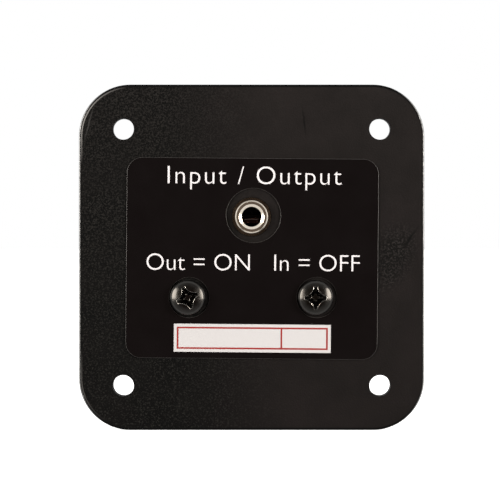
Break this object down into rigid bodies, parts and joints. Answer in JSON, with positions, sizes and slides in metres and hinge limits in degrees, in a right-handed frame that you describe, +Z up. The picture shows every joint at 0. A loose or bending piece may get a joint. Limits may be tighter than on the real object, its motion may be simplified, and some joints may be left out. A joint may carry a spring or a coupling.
{
  "type": "remote antenna switch",
  "caption": "Square panel plate with a plug jack and a metal box behind it: pushing a plug in opens a spring contact and moves the antenna from the panel radio to the plug.",
  "frame": {"origin": "centre of the four panel holes, on the back face of the plate", "axes": "+Z up, -Y out of the front face, +X to the right seen from the front"},
  "size_m": [0.0636, 0.0439, 0.0636],
  "materials": {
    "plate_coat": "satin",
    "label_film": "gloss",
    "black_steel": "satin",
    "plated_steel": "satin",
    "nickel": "polished",
    "cast_alloy": "satin",
    "phenolic": "matte",
    "bronze": "satin",
    "gold": "polished",
    "white_plastic": "matte",
    "red_sleeve": "satin",
    "blue_sleeve": "satin",
    "black_sleeve": "satin"
  },
  "bodies": {
    "switch": {"face_plate": "plate_coat", "face_label": "label_film", "front_screws": "black_steel", "front_screw_washers": "plated_steel", "front_screw_nuts": "plated_steel", "housing": "cast_alloy", "rear_cover": "cast_alloy", "cover_screws": "plated_steel", "jack_bushing": "nickel", "jack_nut": "nickel", "jack_lock_washer": "plated_steel", "jack_frame": "nickel", "lower_insulator": "phenolic", "tip_terminal": "bronze", "middle_insulator": "phenolic", "break_contact": "bronze", "upper_insulator": "phenolic", "stack_clamp": "plated_steel", "stack_rivets": "nickel", "ground_lug": "nickel", "ground_lead": "black_sleeve", "antenna_socket_body": "nickel", "antenna_socket_insulator": "white_plastic", "antenna_socket_contact": "gold", "antenna_socket_washer": "plated_steel", "antenna_socket_nut": "nickel", "antenna_lead": "red_sleeve", "radio_socket_body": "nickel", "radio_socket_insulator": "white_plastic", "radio_socket_contact": "gold", "radio_socket_washer": "plated_steel", "radio_socket_nut": "nickel", "radio_lead": "blue_sleeve"},
    "tip_contact": {"tip_spring": "bronze"}
  },
  "joints": [
    {"name": "tip_spring_flex", "type": "hinge", "parent": "switch", "child": "tip_contact", "pos_m": [0, 0.0143, 0.00455], "axis": [1, 0, 0], "range_deg": [0, 13], "stiffness_Nm_per_rad": 0.025, "springref_deg": -5.73}
  ]
}
